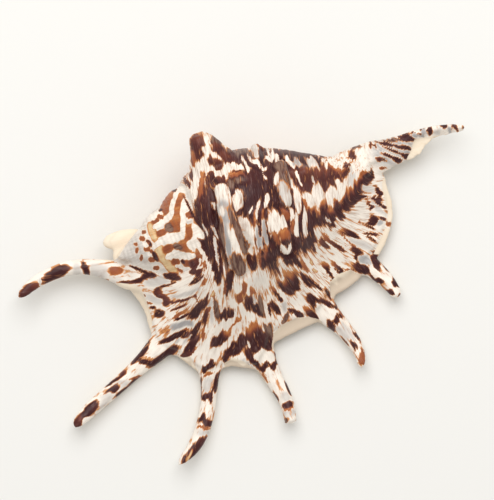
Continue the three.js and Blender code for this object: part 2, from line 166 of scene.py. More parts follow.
# Markings in the order in which they are laid on: paint, start, end, width
BODY_MARKS = [
    (DARK, 262, 153, 322, 160, 15), (DARK, 230, 157, 262, 165, 16), (DARK, 264, 164, 300, 172, 14),
    (DARK, 203, 188, 214, 262, 22), (DARK, 212, 181, 244, 190, 15), (DARK, 241, 170, 250, 216, 22),
    (DARK, 256, 168, 264, 214, 22), (DARK, 272, 164, 284, 212, 20), (DARK, 262, 212, 272, 266, 20),
    (DARK, 289, 190, 302, 250, 24), (DARK, 277, 250, 295, 259, 13), (TAUPE, 228, 152, 250, 153, 8),
    (DARK, 228, 155, 246, 168, 8), (BROWN, 199, 135, 196, 163, 12), (TAUPE, 211, 138, 221, 147, 5),
    (BROWN, 212, 145, 224, 159, 8), (BROWN, 221, 157, 240, 166, 8), (CREAM, 205, 137, 208, 142, 4.5),
    (CREAM, 203, 147, 214, 157, 7), (CREAM, 213, 152, 222, 163, 4), (CREAM, 222, 165, 243, 170, 7),
    (CREAM, 204, 158, 204, 172, 7), (BROWN, 211, 161, 220, 168, 10), (ORANGE, 192, 152, 197, 171, 4),
    (CREAM, 197, 168, 193, 198, 9), (BROWN, 190, 170, 192, 178, 3.5), (BROWN, 185, 178, 189, 185, 5),
    (ORANGE, 203, 173, 200, 197, 4), (CREAM, 208, 174, 227, 172, 6), (BROWN, 206, 178, 230, 178, 4),
    (ORANGE, 228, 176, 245, 176, 4), (TAUPE, 222, 183, 242, 182, 5), (WHITE, 222, 187, 223, 199, 14),
    (BLUE, 224, 203, 227, 221, 12), (CREAM, 231, 190, 234, 202, 2.5), (GREY, 218, 205, 219, 232, 3),
    (CREAM, 223, 208, 224, 216, 5), (TAUPE, 231, 207, 240, 232, 9),
    (TAUPE, 238, 228, 248, 254, 9), (GREY, 233, 208, 239, 222, 3.5), (BLUE, 227, 222, 231, 262, 6),
    (TAUPE, 220, 216, 224, 250, 6),
    (CREAM, 229, 226, 240, 255, 5), (TAUPE, 222, 242, 228, 272, 4), (TAUPE, 234, 255, 242, 272, 12),
    (TAN, 247, 258, 246, 264, 2.5), (WHITE, 244, 219, 250, 236, 7), (CREAM, 248, 232, 254, 247, 4),
    (CREAM, 253, 247, 250, 262, 4), (CREAM, 238, 193, 239, 209, 9), (CREAM, 252, 203, 249, 212, 1.5),
    (ORANGE, 254, 208, 255, 225, 3), (WHITE, 259, 201, 256, 216, 4.5), (BLUE, 257, 222, 261, 250, 6),
    (DARK, 260, 205, 258, 222, 2.5), (DARK, 258, 222, 262, 238, 2.5), (ORANGE, 263, 210, 263, 219, 3),
    (WHITE, 268, 195, 265, 209, 4.5), (BLUE, 264, 220, 267, 248, 6), (DARK, 265, 212, 272, 250, 2.5),
    (ORANGE, 260, 248, 260, 262, 2.5), (ORANGE, 266, 247, 266, 262, 3.5), (DARK, 252, 257, 254, 270, 7),
    (DARK, 262, 259, 265, 269, 4), (DARK, 268, 256, 271, 267, 4), (CREAM, 212, 205, 217, 218, 2.5),
    (GREY, 202, 222, 209, 236, 1.5), (GREY, 211, 225, 217, 240, 2), (GREY, 214, 240, 219, 266, 2.5),
    (CREAM, 194, 227, 203, 238, 7), (WHITE, 193, 240, 199, 247, 8), (CREAM, 200, 249, 208, 263, 5),
    (CREAM, 208, 263, 213, 276, 5), (ORANGE, 197, 250, 203, 264, 3.5), (BROWN, 193, 262, 199, 276, 9),
    (WHITE, 199, 262, 201, 268, 3.5), (ORANGE, 204, 262, 206, 268, 3.5), (WHITE, 243, 160, 250, 169, 5),
    (WHITE, 248, 156, 253, 163, 4), (CREAM, 251, 161, 266, 168, 4), (ORANGE, 250, 165, 256, 170, 2.5),
    (GREY, 254, 146, 257, 159, 7), (ORANGE, 257, 144, 261, 146, 4), (DARK, 261, 147, 262, 163, 5),
    (GREY, 266, 147, 271, 156, 3), (WHITE, 265, 158, 277, 160, 4), (CREAM, 272, 152, 284, 165, 5),
    (CREAM, 285, 156, 295, 168, 4), (DARK, 283, 153, 304, 163, 5), (DARK, 296, 154, 322, 160, 5),
    (BLUE, 293, 161, 302, 167, 6), (GREY, 306, 159, 319, 169, 7), (TAUPE, 279, 164, 285, 186, 12),
    (ORANGE, 285, 184, 290, 191, 3), (CREAM, 277, 173, 275, 192, 3.5), (DARK, 276, 186, 279, 206, 4),
    (GREY, 281, 185, 288, 205, 10), (CREAM, 289, 172, 293, 188, 3), (BROWN, 292, 170, 303, 190, 7),
    (BROWN, 301, 168, 308, 194, 7), (BROWN, 308, 170, 314, 193, 8), (BROWN, 316, 170, 328, 192, 8),
    (BROWN, 323, 168, 335, 187, 8), (BROWN, 331, 169, 341, 181, 7), (BROWN, 342, 169, 349, 178, 6),
    (GREY, 311, 176, 314, 184, 2), (CREAM, 295, 172, 302, 187, 2.5), (ORANGE, 327, 167, 347, 169, 3),
    (CREAM, 322, 162, 346, 163, 6), (BROWN, 344, 163, 349, 168, 4), (WHITE, 296, 188, 298, 210, 6),
    (WHITE, 304, 195, 312, 208, 9), (WHITE, 316, 186, 319, 205, 10), (WHITE, 330, 190, 335, 203, 11),
    (WHITE, 338, 180, 346, 193, 8), (GREY, 351, 175, 353, 189, 8), (ORANGE, 303, 200, 307, 210, 3),
    (FADE, 310, 209, 313, 224, 6), (FADE, 315, 207, 317, 228, 6), (FADE, 323, 202, 326, 223, 9),
    (ORANGE, 334, 199, 336, 208, 3), (FADE, 331, 209, 332, 229, 7), (DARK, 337, 203, 341, 218, 7),
    (GREY, 327, 218, 329, 224, 3.5), (FADE, 343, 200, 347, 209, 8), (FADE, 350, 190, 353, 206, 10),
    (FADE, 357, 183, 359, 199, 8), (FADE, 364, 176, 366, 190, 9), (FADE, 367, 164, 371, 181, 10),
    (ORANGE, 370, 158, 361, 178, 3), (CREAM, 272, 212, 275, 237, 10), (BROWN, 284, 208, 290, 240, 4),
    (RED, 283, 210, 288, 218, 7), (CREAM, 280, 217, 284, 229, 8), (ORANGE, 280, 231, 288, 237, 9),
    (DARK, 282, 240, 287, 244, 7), (CREAM, 280, 243, 285, 253, 4.5), (CREAM, 286, 253, 291, 241, 4),
    (ORANGE, 273, 232, 278, 245, 4), (CREAM, 291, 210, 295, 237, 4), (ORANGE, 293, 222, 294, 236, 2.5),
    (CREAM, 296, 212, 298, 240, 4), (DARK, 299, 212, 300, 237, 3), (CREAM, 304, 211, 305, 237, 5),
    (DARK, 309, 212, 311, 242, 4), (DARK, 294, 240, 297, 250, 8), (DARK, 299, 246, 307, 245, 8),
    (DARK, 271, 246, 276, 259, 6), (BROWN, 351, 150, 353, 162, 5), (TAUPE, 352, 149, 361, 147, 3),
    (CREAM, 362, 150, 366, 168, 11), (CREAM, 374, 156, 376, 181, 8), (GREY, 364, 189, 377, 189, 6),
    # painted shadow: the first four thin dark marks from here are shadow lines along both sides of the long
    # knob
    (DARK, 214, 200, 218, 232, 2.4), (DARK, 219, 234, 229, 268, 2.4), (DARK, 232, 206, 240, 226, 1.8),
    (DARK, 241, 228, 250, 256, 1.8), (DARK, 244, 160, 262, 176, 2.5), (WHITE, 268, 152, 274, 158, 3),
    (DARK, 266, 160, 276, 172, 3), (CREAM, 258, 166, 266, 178, 2.5),
]
LIP_MARKS = [
    (WHITE, 352, 205, 366, 222, 16), (DARK, 378, 186, 381, 199, 7), (DARK, 372, 196, 387, 209, 4),
    (ORANGE, 367, 197, 370, 206, 2.5), (DARK, 370, 203, 372, 210, 4), (GREY, 374, 204, 386, 214, 5),
    (DARK, 370, 217, 379, 225, 9), (DARK, 380, 217, 387, 220, 3), (BLUE, 381, 222, 384, 225, 6),
    (ORANGE, 360, 222, 366, 226, 3), (DARK, 365, 224, 374, 229, 3), (DARK, 366, 234, 378, 235, 3),
    (DARK, 370, 237, 379, 243, 2.5), (FADE, 340, 230, 360, 238, 6), (ORANGE, 345, 237, 353, 247, 2),
    (GREY, 352, 241, 370, 246, 7), (BROWN, 313, 236, 313, 248, 4), (BROWN, 318, 240, 328, 246, 6),
    (ORANGE, 325, 236, 330, 242, 4), (BROWN, 329, 241, 343, 250, 4), (DARK, 352, 248, 362, 255, 6),
    (DARK, 355, 255, 357, 262, 5), (BLUE, 360, 258, 370, 262, 9), (DARK, 352, 264, 369, 270, 8),
    (DARK, 373, 252, 378, 268, 9), (DARK, 380, 258, 389, 271, 3), (CREAM, 371, 271, 384, 277, 8),
    (BROWN, 368, 272, 378, 283, 3), (DARK, 377, 279, 382, 281, 6), (WHITE, 385, 273, 390, 285, 8),
    (DARK, 392, 278, 397, 284, 8), (DARK, 389, 289, 392, 293, 6), (WHITE, 394, 287, 398, 292, 6),
    (DARK, 398, 294, 401, 297, 5), (RED, 390, 223, 394, 226, 5),
    (FADE, 293, 258, 302, 268, 5), (ORANGE, 302, 263, 307, 271, 4), (TAN, 311, 260, 313, 266, 2.5),
    (TAN, 316, 273, 319, 274, 3.5), (FADE, 323, 261, 334, 283, 5), (DARK, 331, 266, 340, 274, 2),
    (FADE, 333, 263, 343, 273, 4), (ORANGE, 344, 268, 352, 269, 2), (FADE, 289, 274, 291, 289, 18),
    (FADE, 277, 276, 282, 289, 4), (DARK, 302, 275, 314, 287, 8), (DARK, 312, 284, 322, 289, 3),
    (FADE, 323, 287, 331, 297, 4), (DARK, 309, 297, 320, 308, 11), (DARK, 320, 300, 337, 309, 6),
    (FADE, 305, 308, 318, 320, 7), (WHITE, 318, 308, 334, 316, 11), (DARK, 328, 323, 336, 333, 8),
    (DARK, 334, 321, 344, 317, 8), (ORANGE, 341, 313, 346, 320, 2.5), (GREY, 340, 328, 353, 339, 11),
    (TAUPE, 343, 339, 348, 345, 2.5), (DARK, 355, 333, 360, 339, 5), (ORANGE, 360, 335, 361, 343, 2),
    (DARK, 353, 342, 356, 349, 5), (RED, 364, 352, 360, 362, 7), (GREY, 284, 303, 287, 314, 5),
    (DARK, 291, 312, 303, 317, 6), (TAUPE, 290, 316, 283, 324, 5), (TAUPE, 269, 325, 272, 340, 6),
    (BROWN, 197, 258, 200, 268, 4), (DARK, 217, 258, 218, 278, 11), (GREY, 227, 258, 231, 270, 6),
    (DARK, 231, 274, 227, 291, 9), (RED, 226, 282, 225, 291, 3), (TAN, 213, 291, 214, 297, 4),
    (RED, 246, 287, 238, 301, 8), (ORANGE, 252, 290, 255, 296, 6), (DARK, 246, 300, 262, 312, 11),
    (GREY, 254.5, 294, 254.5, 305, 3), (TAUPE, 259, 297, 262, 308, 5), (DARK, 268, 304, 271, 318, 2.5),
    (DARK, 271, 303, 280, 313, 6), (FADE, 273, 290, 283, 303, 5), (TAUPE, 215, 297, 219, 322, 5),
    (GREY, 209, 297, 212, 318, 6), (DARK, 222, 313, 233, 311, 12), (ORANGE, 241, 318, 231, 327, 4),
    (WHITE, 218, 325, 234, 320, 8), (FADE, 230, 329, 212, 346, 9), (DARK, 246, 338, 226, 356, 12),
    (DARK, 228, 355, 222, 364, 6), (DARK, 247, 350, 258, 368, 10), (GREY, 242, 358, 245, 359, 3),
    (FADE, 252, 326, 258, 350, 19), (WHITE, 248, 338, 249, 345, 2.5), (TAUPE, 264, 322, 268, 334, 4),
    (DARK, 266, 334, 268, 348, 11), (WHITE, 256, 356, 272, 356, 11), (DARK, 260, 370, 278, 364, 8),
    (DARK, 274, 352, 283, 374, 2), (ORANGE, 263, 375, 268, 383, 2), (DARK, 286, 383, 293, 400, 4),
    (DARK, 272, 393, 278, 401, 4), (GREY, 283, 395, 290, 404, 7), (DARK, 284, 407, 294, 408, 7),
    (ORANGE, 285, 412, 295, 412, 2), (GREY, 285, 417, 296, 417, 7), (TAUPE, 288, 421, 285, 427, 4),
    (WHITE, 204, 362, 216, 351, 11), (DARK, 204, 368, 214, 364, 9), (ORANGE, 205, 374, 212, 375, 3),
    (GREY, 208, 378, 208, 391, 8), (DARK, 201.5, 371, 201, 398, 2), (DARK, 218, 376, 215, 388, 6),
    (DARK, 213, 388, 211, 400, 3), (DARK, 203, 396, 210, 398, 8), (DARK, 199, 420, 216, 420, 9),
    (ORANGE, 198, 428, 213, 428, 2.5), (GREY, 199, 434, 211, 434, 8), (DARK, 204, 440, 184, 464, 12),
    (TAN, 193, 448, 187, 460, 3), (ORANGE, 190, 464, 178, 472, 5),
    (RED, 112, 270, 120, 271, 8), (DARK, 128, 266, 142, 271, 4), (DARK, 140, 274, 151, 275, 9),
    (BROWN, 120, 282, 140, 282, 4), (DARK, 133, 281, 145, 278, 5), (GREY, 145, 281, 166, 280, 12),
    (DARK, 165, 277, 179, 277, 9), (DARK, 160, 287, 172, 283, 4), (BROWN, 162, 288, 166, 307, 9),
    (GREY, 148, 297, 160, 302, 9), (BROWN, 141, 295, 146, 296, 3), (ORANGE, 143, 303, 150, 304, 3),
    (DARK, 148, 308, 154, 309, 4), (DARK, 154, 315, 162, 313, 8), (BROWN, 163, 304, 199, 299, 2.5),
    (BROWN, 170, 311, 186, 305, 2.5), (ORANGE, 172, 319, 186, 310, 3), (DARK, 208, 298, 190, 318, 10),
    (RED, 210, 310, 203, 318, 4), (DARK, 174, 321, 189, 314, 3), (BLUE, 170, 328, 192, 324, 7),
    (DARK, 163, 341, 188, 335, 8), (ORANGE, 181, 333, 188, 331, 2), (DARK, 200, 322, 190, 340, 7),
    (DARK, 197, 340, 184, 355, 8), (GREY, 192, 334, 181, 347, 2.5), (GREY, 177, 342, 171, 350, 3),
    (WHITE, 165, 346, 153, 354, 12), (DARK, 152, 339, 140, 356, 7), (DARK, 143, 352, 132, 364, 3.5),
    (DARK, 178, 348, 146, 368, 7), (DARK, 140, 360, 150, 364, 8), (TAN, 146, 357, 152, 358, 3),
    (CREAM, 140, 366, 130, 375, 10), (BROWN, 126, 372, 120, 376, 4), (DARK, 121, 377, 104, 388, 3),
    (GREY, 125, 382, 113, 389, 9), (DARK, 138, 380, 128, 388, 6), (RED, 128, 381, 136, 380, 3),
    (DARK, 128, 389, 112, 401, 5), (DARK, 117, 387, 102, 400, 8), (GREY, 108, 397, 92, 410, 10),
    (DARK, 98, 403, 81, 417, 11), (WHITE, 89, 417, 79, 424, 5), (BROWN, 80, 418, 73, 430, 9),
    (DARK, 192, 283, 203, 276, 6), (WHITE, 182, 286, 190, 272, 10), (CREAM, 199, 278, 207, 270, 4),
    (ORANGE, 200, 288, 208, 277, 2.5), (GREY, 172, 297, 199, 293, 5), (BROWN, 206, 310, 203, 330, 5),
    (ORANGE, 203, 330, 202, 342, 4), (BROWN, 180, 357, 195, 352, 5),
    (GREY, 94, 268, 109, 272, 14), (BROWN, 105, 279, 112, 279, 3), (DARK, 83, 263, 91, 275, 9),
    (GREY, 76, 265, 75, 277, 10), (DARK, 64, 268, 45, 280, 12), (BROWN, 40, 283, 22, 296, 12),
    (GREY, 42, 277, 43, 286, 2),
]
# Painted shade where the pale rim between the fingers is thin and curves down away from the light
RIM_MARKS = [
    (SHADE, 330, 302, 374, 272, 34), (SHADE, 268, 352, 334, 318, 34), (SHADE, 220, 368, 264, 378, 18),
    (SHADE, 174, 360, 200, 382, 16),
]
CANAL_MARKS = [
    (ASH, 376, 152, 408, 150, 28), (BROWN, 370, 144, 376, 147, 5), (DARK, 379, 143, 388, 143, 4.5),
    (TAUPE, 388, 141, 402, 138, 5), (DARK, 400, 138, 414, 138, 7.5), (DARK, 396, 146, 412, 149, 5),
    (DARK, 384, 147, 404, 154, 3), (DARK, 401, 153, 411, 158, 7), (DARK, 382, 153, 397, 159, 3),
    (DARK, 394, 158, 404, 163, 6), (DARK, 384, 144, 398, 146, 2.4), (BLUE, 394, 142, 413, 144, 1.8),
    (BLUE, 397, 151, 412, 153, 1.8), (WHITE, 384, 151, 406, 160, 1.4),
    (BROWN, 375, 158, 383, 159, 4.5), (TAUPE, 382, 158, 386, 161, 2.5), (RED, 380, 166, 381, 168, 4),
    (BLUE, 414, 136, 428, 132, 6), (DARK, 412, 134, 430, 129, 2.4), (DARK, 429, 130, 432, 135, 5),
    (GREY, 436, 132, 440, 131, 7), (DARK, 442, 128, 447, 128, 5), (BLUE, 449, 129, 452, 129, 6),
    (BROWN, 453, 130, 458, 130, 6.5), (TAUPE, 463, 128, 467, 129, 4),
]
SPIRE_MARKS = [
    (TAN, 150, 223, 155, 240, 8), (TAN, 157, 244, 165, 262, 9), (TAN, 165, 260, 176, 273, 8),
    (ORANGE, 171, 190, 164, 213, 10), (ORANGE, 181, 193, 177, 210, 9), (ORANGE, 178, 208, 179, 219, 8),
    (ORANGE, 176, 217, 175, 232, 12), (TAUPE, 167, 224, 171, 230, 7), (ORANGE, 188, 222, 189, 243, 8),
    (ORANGE, 182, 243, 190, 251, 10), (ORANGE, 191, 250, 198, 268, 9), (TAUPE, 175, 245, 181, 250, 6),
    (RED, 185, 262, 196, 270, 8), (RED, 158, 234, 165, 231, 7), (RED, 165, 251, 172, 247, 8),
    (RED, 153, 222, 158, 219, 6), (RED, 173, 262, 179, 262, 6), (GREY, 128, 250, 147, 253, 24),
    (WHITE, 153, 227, 162, 222, 5), (WHITE, 161, 222, 171, 215, 6), (WHITE, 171, 217, 173, 200, 5),
    (WHITE, 173, 202, 178, 189, 5), (CREAM, 178, 188, 188, 191, 6), (WHITE, 152, 248, 163, 240, 6),
    (WHITE, 162, 239, 184, 235, 9), (WHITE, 183, 237, 183, 213, 5), (WHITE, 182, 215, 185, 199, 6),
    (WHITE, 184, 200, 191, 212, 4), (WHITE, 167, 258, 179, 252, 6), (WHITE, 180, 256, 195, 257, 7),
    (WHITE, 189, 243, 197, 251, 8), (WHITE, 176, 266, 182, 268, 4), (GREY, 184, 271, 191, 269, 6),
    (WHITE, 149, 216, 155, 217, 6), (WHITE, 156, 213, 162, 214, 7), (RED, 158, 215, 163, 217, 4),
    (DARK, 172, 188, 176, 190, 4), (DARK, 159, 210, 162, 209, 2.5), (RED, 187, 213, 192, 217, 5),
    (GREY, 187, 222, 192, 222, 4), (DARK, 182, 260, 184, 263, 3), (RED, 178, 269, 183, 272, 2.5),
    (RED, 142, 232, 145, 232, 3.5), (RED, 140, 238, 144, 239, 4.5), (RED, 144, 249, 149, 249, 4.5),
    (RED, 149, 259, 154, 260, 4.5), (RED, 154, 268, 159, 268, 4), (DARK, 147, 240, 151, 246, 4),
    (DARK, 153, 252, 158, 261, 4), (RED, 134, 244, 137, 244, 3), (RED, 137, 248, 136, 253, 3),
    (RED, 141.5, 255, 140.5, 260, 3),
    (RED, 146.5, 242, 149, 243, 3), (RED, 150, 250, 152, 252, 3), (WHITE, 145, 235, 150, 239, 4),
    (WHITE, 143, 243, 147, 246, 5), (WHITE, 148, 254, 151, 255, 3),
    (DARK, 184, 196, 196, 222, 1.6), (DARK, 203, 240, 208, 249, 1.6),
]
# Sets of markings in the order in which they are laid on, with a factor on the width of the pigment
MARK_SETS = ((SPIRE_MARKS, 1.1), (LIP_MARKS, 0.95), (BODY_MARKS, 1.2), (CANAL_MARKS, 1.0))

# Roundness of a mark's outline, what it gains in length from its width, and where it begins to cover
# and covers fully, as shares of its half width
MARK_ROUNDNESS = 2.4
MARK_OVERRUN = 0.2
MARK_BEGINS = 1.3
MARK_COVERS = 0.7
# Where the pigment goes over from its first to its last warmth, as shares of the mark's spread
# along the growth, and how far round a mark its points are looked for
FIRST_WARMTH = -0.95
LAST_WARMTH = 0.0
SEARCH_REACH = 1.4
# Pigment of the bare ground, what the spire has less, and its warmth
BARE_GROUND = -0.5
BARE_SPIRE = 0.35
BARE_WARMTH = 0.55

# Noise over the flow: lumps per millimetre across and along it, seed
STREAKS = (1.15, 0.10, 21)
BROAD_STREAKS = (0.5, 0.12, 22)
RIDGES = (0.75, 0.05, 3)
FINE_RIDGES = (1.5, 0.07, 4)
WAVES = (0.25, 0.2, 13)
BANDS = (0.10, 0.15, 11)
BLOTS = (0.40, 0.13, 12)

# Reach of the streaks in units
STREAK_LENGTH = 9.0
# Height of the coiling axis over the floor and radius of the body whorl in millimetres
AXIS_HEIGHT = 18.0
WHORL_RADIUS = 25.0
# Across the flow, the spire counts on from here, so that its noise is its own
SPIRE_OFFSET = 150
# Distance between the fine cords of the spire in millimetres
CORD_STEP = 1.5
# Middle and reach of the peach tone in the mouth, along the axis and across it, in millimetres
MOUTH_MIDDLE = (55, -22)
MOUTH_REACH = (24, 13)

# Steps put between the flow lines and between their points
STEPS_ACROSS = 5
STEPS_ALONG = 10
# Farthest step in units from a flow point, smallest size of a flow cell, most cells in one step
FLOW_REACH = 8
SMALLEST_CELL = 0.05
MOST_CELLS = 3
# Shares of the way to the neighbours' middle in one round of smoothing
SHRINK = 0.5
SWELL = -0.53
# A point counts as covered from this many millimetres over it
COVER_GAP = 0.4


def on_sheet(points):
    """Place on the marking sheet, in units, of points given in millimetres."""
    along, across = (points[:, :2] - APEX).T
    right = (along * math.cos(TURN) - across * math.sin(TURN)) / UNIT
    up = (along * math.sin(TURN) + across * math.cos(TURN)) / UNIT
    return APEX_ON_SHEET + np.column_stack((right, -up))


def soft_step(value, low, high):
    """0 below low, 1 above high, smooth between."""
    t = np.clip((value - low) / (high - low), 0, 1)
    return t * t * (3 - 2 * t)


def crossed(a, b):
    """Signed area between two directions on the sheet."""
    return a[..., 0] * b[..., 1] - a[..., 1] * b[..., 0]


def to_segment(place, start, edge):
    """How far along a segment each place is nearest to it, as a share, and how far from it."""
    t = np.clip((place - start) @ edge / (edge @ edge), 0, 1)
    return t, np.linalg.norm(place - start - t[:, None] * edge, axis=1)


def soft_noise(u, v, seed):
    """Smooth noise from 0 to 1 over two coordinates, one lump per unit."""
    values = np.random.default_rng(seed).random((64, 64))
    iu, iv = np.floor(u).astype(int), np.floor(v).astype(int)
    fu, fv = soft_step(u - iu, 0, 1), soft_step(v - iv, 0, 1)
    near = values[iu % 64, iv % 64] * (1 - fv) + values[iu % 64, (iv + 1) % 64] * fv
    far = values[(iu + 1) % 64, iv % 64] * (1 - fv) + values[(iu + 1) % 64, (iv + 1) % 64] * fv
    return near * (1 - fu) + far * fu


def flow_noise(across, along, layer, offset=0):
    """Smooth noise from 0 to 1 over the flow."""
    per_across, per_along, seed = layer
    return soft_noise(across * per_across + offset, along * per_along, seed)


def smooth_rows(rows, parts):
    """Rows of points with smooth steps put between them (Catmull-Rom), along the first axis."""
    before = np.concatenate((2 * rows[:1] - rows[1:2], rows, 2 * rows[-1:] - rows[-2:-1]))
    pieces = []
    for i in range(len(rows) - 1):
        a, b, c, d = before[i:i + 4]
        for t in np.arange(parts) / parts:
            pieces.append(0.5 * (2 * b + (c - a) * t + (2 * a - 5 * b + 4 * c - d) * t**2
                                 + (3 * b - a - 3 * c + d) * t**3))
    return np.array(pieces + [rows[-1]])


class Flow:
    """Coordinates across and along the growth of the shell, in millimetres."""

    def __init__(self):
        lines = np.array([points for _, points in FLOW_LINES], float)
        across = np.array([place for place, _ in FLOW_LINES], float)
        closer = smooth_rows(lines, STEPS_ACROSS).transpose(1, 0, 2)
        self.points = smooth_rows(closer, STEPS_ALONG).transpose(1, 0, 2)
        self.across = np.interp(np.arange(len(self.points)) / STEPS_ACROSS, np.arange(len(lines)), across)
        steps = np.linalg.norm(np.diff(self.points, axis=1), axis=2) * UNIT
        self.along = np.concatenate((np.zeros((len(steps), 1)), np.cumsum(steps, axis=1)), axis=1)
        self.side, self.ahead = np.gradient(self.points, axis=(0, 1))
        self.side_along, self.ahead_along = np.gradient(self.along)
        self.step_across = np.gradient(self.across)
        self.tree = KDTree(self.points.shape[0] * self.points.shape[1])
        for k, (right, down) in enumerate(self.points.reshape(-1, 2)):
            self.tree.insert((right, down, 0), k)
        self.tree.balance()

    def nearest(self, place):
        """Row and column of the nearest flow point to each place."""
        found = [self.tree.find((right, down, 0))[1] for right, down in place]
        return np.unravel_index(np.array(found), self.points.shape[:2])

    def at(self, place):
        """Across and along for each place on the sheet."""
        i, j = self.nearest(place)
        offset = place - self.points[i, j]
        reach = np.linalg.norm(offset, axis=1, keepdims=True)
        offset = offset * np.minimum(1, FLOW_REACH / np.maximum(reach, 1e-6))
        side, ahead = self.side[i, j], self.ahead[i, j]
        area = crossed(side, ahead)
        area = np.where(np.abs(area) < SMALLEST_CELL, SMALLEST_CELL * np.sign(area + 1e-9), area)
        du = np.clip(crossed(offset, ahead) / area, -MOST_CELLS, MOST_CELLS)
        dv = np.clip(crossed(side, offset) / area, -MOST_CELLS, MOST_CELLS)
        across = self.across[i] + du * self.step_across[i]
        along = self.along[i, j] + du * self.side_along[i, j] + dv * self.ahead_along[i, j]
        return across, along

    def headings(self, place):
        """Direction of growth at each place."""
        ahead = self.ahead[self.nearest(place)]
        return ahead / np.linalg.norm(ahead, axis=1, keepdims=True)


def inside(place, outline):
    """Distance to a closed outline in units, positive inside it."""
    corners = np.array(outline, float)
    nearest = np.full(len(place), 1e9)
    within = np.zeros(len(place), bool)
    for a, b in zip(corners, np.roll(corners, -1, axis=0)):
        edge = b - a
        nearest = np.minimum(nearest, to_segment(place, a, edge)[1])
        crosses = (a[1] > place[:, 1]) != (b[1] > place[:, 1])
        rise = b[1] - a[1] if b[1] != a[1] else 1e-9
        within ^= crosses & (place[:, 0] < a[0] + (place[:, 1] - a[1]) * edge[0] / rise)
    return np.where(within, nearest, -nearest)


def length_field(name, description, **values):
    return FloatProperty(name=name, description=description, subtype="DISTANCE", unit="LENGTH", **values)


def colour_field(name, description, *colour):
    return FloatVectorProperty(
        name=name, description=description, subtype="COLOR", size=4, default=(*colour, 1))


class ShellForm(bpy.types.PropertyGroup):
    """Sizes of the shell's finish."""
    grain: length_field(
        "Grain", "Size of the faces of the finished mesh", default=0.0006, min=0.0004, max=0.002)
    smoothing: IntProperty(
        name="Smoothing", description="Rounds of smoothing that keep the volume", default=45, min=0, max=200)
    growth_relief: length_field(
        "Growth relief", "Height of the growth ridges on the back", default=0.00022, min=0, max=0.001)
    cord_relief: length_field(
        "Spire cords", "Height of the fine cords round the spire", default=0.00012, min=0, max=0.001)


class ShellGlaze(bpy.types.PropertyGroup):
    """Colours and gloss of the shell."""
    ground: colour_field("Ground", "Warm white between the markings", 0.96, 0.875, 0.77)
    cool_ground: colour_field("Cool ground", "Blue grey shade of the ground", 0.37, 0.36, 0.36)
    glaze: colour_field("Pale glaze", "Ivory of lip, canal and callus", 0.84, 0.70, 0.53)
    mouth: colour_field("Mouth", "Peach of the hollow under the lip", 0.80, 0.47, 0.32)
    roughness: FloatProperty(
        name="Roughness", description="Roughness of the back", default=0.36, min=0, max=1, subtype="FACTOR")


class StageSetting(bpy.types.PropertyGroup):
    """Floor and light."""
    floor: colour_field("Floor", "Colour of the floor", 0.80, 0.79, 0.76)
    sky: FloatProperty(name="Sky", description="Strength of the light from all round", default=0.62, min=0)
    key: FloatProperty(
        name="Key light", description="Power of the soft light from above", default=9.2, min=0,
        unit="POWER")
    view_height: length_field(
        "Camera height", "Distance of the camera above the floor", default=2.5, min=0.5)


def add_object(name, data):
    made = bpy.data.objects.new(name, data)
    bpy.context.scene.collection.objects.link(made)
    return made


def select_only(piece):
    bpy.ops.object.select_all(action="DESELECT")
    piece.select_set(True)
    bpy.context.view_layer.objects.active = piece


def grown_copy(node, grain):
    """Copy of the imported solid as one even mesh."""
    mesh = node.data.copy()
    mesh.materials.clear()
    piece = add_object("grown_shell", mesh)
    select_only(piece)
    bpy.ops.object.mode_set(mode="EDIT")
    bpy.ops.mesh.select_all(action="SELECT")
    bpy.ops.mesh.remove_doubles(threshold=1e-6)
    bpy.ops.mesh.normals_make_consistent(inside=False)
    bpy.ops.object.mode_set(mode="OBJECT")
    remesh = piece.modifiers.new("Even faces", "REMESH")
    remesh.mode = "VOXEL"
    remesh.voxel_size = grain
    bpy.ops.object.modifier_apply(modifier=remesh.name)
    return piece


def read_vectors(items, name):
    vectors = np.zeros(len(items) * 3)
    items.foreach_get(name, vectors)
    return vectors.reshape(-1, 3)


def write_points(mesh, points):
    mesh.vertices.foreach_set("co", points.ravel())
    mesh.update()


def smoothed(mesh, points, rounds):
    """Points after rounds of shrinking and swelling, which take facets away and keep the volume."""
    ends = np.zeros(len(mesh.edges) * 2, int)
    mesh.edges.foreach_get("vertices", ends)
    a, b = ends.reshape(-1, 2).T
    here, there = np.concatenate((a, b)), np.concatenate((b, a))
    count = np.bincount(here, minlength=len(points))[:, None]
    for _ in range(rounds):
        for share in (SHRINK, SWELL):
            total = np.column_stack([np.bincount(here, column[there]) for column in points.T])
            points = points + share * (total / count - points)
    return points


def distance_share(place, path, halves):
    """Distance of each place to a path, as a share of the half width there."""
    nearest = np.full(len(place), 9.0)
    for i in range(len(path) - 1):
        start = np.array(path[i], float)
        t, away = to_segment(place, start, np.array(path[i + 1], float) - start)
        nearest = np.minimum(nearest, away / (halves[i] + (halves[i + 1] - halves[i]) * t))
    return nearest


def covered_from_above(mesh, points):
    """1 for each point that has another part of the shell right above it."""
    tree = BVHTree.FromPolygons(points.tolist(), [tuple(face.vertices) for face in mesh.polygons])
    up = Vector((0, 0, 1))
    starts = (Vector(point) + up * COVER_GAP for point in points)
    return np.array([tree.ray_cast(start, up)[0] is not None for start in starts], float)


